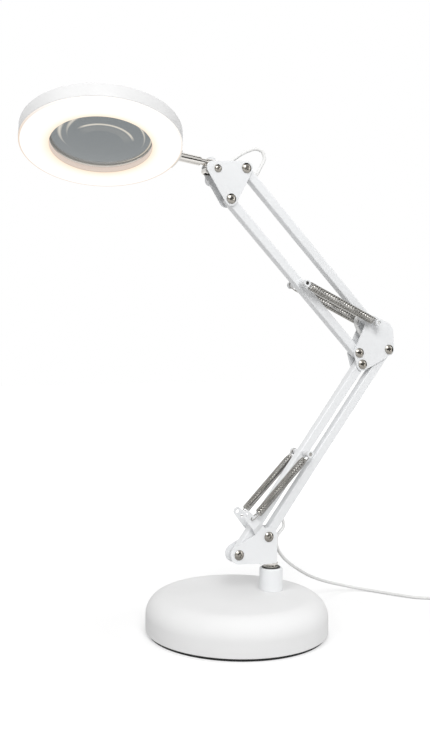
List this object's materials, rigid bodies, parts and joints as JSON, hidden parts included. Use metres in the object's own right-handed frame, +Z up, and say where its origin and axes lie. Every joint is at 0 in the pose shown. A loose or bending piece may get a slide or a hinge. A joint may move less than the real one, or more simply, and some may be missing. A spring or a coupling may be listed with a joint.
{
  "type": "magnifying desk lamp",
  "caption": "Desk lamp with a weighted round base, a sprung double parallelogram arm and a tilting ring light round a magnifying lens.",
  "frame": {"origin": "centre of the round base, on the surface it stands on", "axes": "+Z up; +X from the lens towards the elbow, in the plane of the arm; +Y away from the viewer, along the pivots"},
  "size_m": [0.5443, 0.198, 0.5364],
  "materials": {
    "base_white": "satin white shell",
    "cast_weight": "rough dark casting",
    "sheet_steel": "plain sheet",
    "foot_rubber": "matt black",
    "arm_white": "smooth white powder coat",
    "bright_steel": "bright nickel plating",
    "spring_steel": "drawn spring wire",
    "bush_black": "fine matt",
    "cable_white": "smooth soft jacket",
    "head_white": "glossy white moulding",
    "board_white": "white solder mask with yellow chips",
    "diffuser_warm": "glowing warm white frosted",
    "lens_glass": "polished",
    "cap_white": "fine matt",
    "controller_white": "fine matt",
    "button_grey": "fine matt",
    "board_green": "green solder mask",
    "tie_black": "fine matt"
  },
  "bodies": {
    "base": {"base_cover": "base_white", "base_weight": "cast_weight", "base_plate": "sheet_steel", "base_fasteners": "bright_steel", "foot_pad": "foot_rubber", "post": "arm_white", "post_bush": "bush_black", "cord_lead": "cable_white", "cord_mid": "cable_white", "cord_coil": "cable_white", "cord_end": "cable_white", "coil_tie": "tie_black", "cord_reliefs": "cable_white", "controller_bottom": "controller_white", "controller_board": "board_green", "controller_top": "controller_white", "usb_grip": "controller_white", "usb_shell": "bright_steel"},
    "lower_bracket_body": {"lower_bracket": "arm_white", "swivel_pin": "bright_steel", "swivel_ring": "spring_steel", "lower_fasteners": "bright_steel", "lower_spring_front": "spring_steel", "lower_spring_rear": "spring_steel", "cable_tail": "cable_white"},
    "lower_link_body": {"lower_link": "arm_white", "lower_cable": "cable_white"},
    "lower_bar_body": {"lower_bar": "arm_white", "lower_rod": "bright_steel", "lower_rod_caps": "cap_white"},
    "elbow_body": {"elbow_plate_front": "arm_white", "elbow_plate_rear": "arm_white", "elbow_fasteners": "bright_steel", "elbow_rod": "bright_steel", "elbow_rod_caps": "cap_white", "elbow_cable": "cable_white", "upper_spring_front": "spring_steel", "upper_spring_rear": "spring_steel"},
    "upper_bar_body": {"upper_bar": "arm_white", "upper_rod": "bright_steel", "upper_rod_caps": "cap_white"},
    "upper_link_body": {"upper_link": "arm_white", "upper_cable": "cable_white"},
    "head_bracket_body": {"head_plate_front": "arm_white", "head_plate_rear": "arm_white", "head_plate_fasteners": "bright_steel", "tilt_screw": "bright_steel", "cable_loop": "cable_white"},
    "knob_body": {"tilt_knob": "cap_white"},
    "tilt_body": {"tilt_clevis": "bright_steel"},
    "head_body": {"head_rod": "bright_steel", "head_fasteners": "bright_steel", "head_housing": "head_white", "led_board": "board_white", "diffuser": "diffuser_warm", "lens": "lens_glass", "lens_ring": "head_white"},
    "power_button_body": {"power_button": "button_grey"},
    "brighter_button_body": {"brighter_button": "button_grey"},
    "dimmer_button_body": {"dimmer_button": "button_grey"}
  },
  "joints": [
    {"name": "swivel", "type": "hinge", "parent": "base", "child": "lower_bracket_body", "pos_m": [0.041, 0, 0.0635], "axis": [0, 0, 1], "range_deg": [-120, 120], "deforming": ["cord_lead"]},
    {"name": "lower_arm", "type": "hinge", "parent": "lower_bracket_body", "child": "lower_link_body", "pos_m": [0.0347, 0, 0.0969], "axis": [0, -1, 0], "range_deg": [-8, 50], "deforming": ["cable_tail"]},
    {"name": "lower_bar_turn", "type": "hinge", "parent": "lower_bracket_body", "child": "lower_bar_body", "pos_m": [0, 0, 0.0805], "axis": [0, -1, 0], "range_deg": [-10, 52], "deforming": ["lower_spring_front", "lower_spring_rear"]},
    {"name": "elbow_level", "type": "hinge", "parent": "lower_link_body", "child": "elbow_body", "pos_m": [0.18563, 0, 0.29431], "axis": [0, -1, 0], "range_deg": [-52, 10], "deforming": ["elbow_cable"]},
    {"name": "upper_arm", "type": "hinge", "parent": "elbow_body", "child": "upper_link_body", "pos_m": [0.16453, 0, 0.32361], "axis": [0, -1, 0], "range_deg": [-35, 35]},
    {"name": "upper_bar_turn", "type": "hinge", "parent": "elbow_body", "child": "upper_bar_body", "pos_m": [0.14693, 0, 0.29061], "axis": [0, -1, 0], "range_deg": [-37, 37], "deforming": ["upper_spring_front", "upper_spring_rear"]},
    {"name": "head_level", "type": "hinge", "parent": "upper_link_body", "child": "head_bracket_body", "pos_m": [0.00858, 0, 0.48371], "axis": [0, -1, 0], "range_deg": [-37, 37], "deforming": ["cable_loop"]},
    {"name": "head_tilt", "type": "hinge", "parent": "head_bracket_body", "child": "tilt_body", "pos_m": [-0.02422, 0, 0.48101], "axis": [0, -1, 0], "range_deg": [-35, 60]},
    {"name": "knob_turn", "type": "hinge", "parent": "head_bracket_body", "child": "knob_body", "pos_m": [-0.02422, 0.012, 0.48101], "axis": [0, 1, 0], "continuous": true},
    {"name": "head_twist", "type": "hinge", "parent": "tilt_body", "child": "head_body", "pos_m": [-0.02357, 0, 0.48596], "axis": [0.9914, 0, -0.1305], "range_deg": [-70, 70]},
    {"name": "power_press", "type": "slide", "parent": "base", "child": "power_button_body", "axis": [0, 0, -1], "range_m": [0, 0.0008], "stiffness_N_per_m": 300, "springref_m": -0.0003},
    {"name": "brighter_press", "type": "slide", "parent": "base", "child": "brighter_button_body", "axis": [0, 0, -1], "range_m": [0, 0.0008], "stiffness_N_per_m": 300, "springref_m": -0.0003},
    {"name": "dimmer_press", "type": "slide", "parent": "base", "child": "dimmer_button_body", "axis": [0, 0, -1], "range_m": [0, 0.0008], "stiffness_N_per_m": 300, "springref_m": -0.0003}
  ],
  "couplings": [
    {"joint": "lower_bar_turn", "follows": "lower_arm", "ratio": 1},
    {"joint": "elbow_level", "follows": "lower_arm", "ratio": -1},
    {"joint": "upper_bar_turn", "follows": "upper_arm", "ratio": 1},
    {"joint": "head_level", "follows": "upper_arm", "ratio": -1}
  ]
}
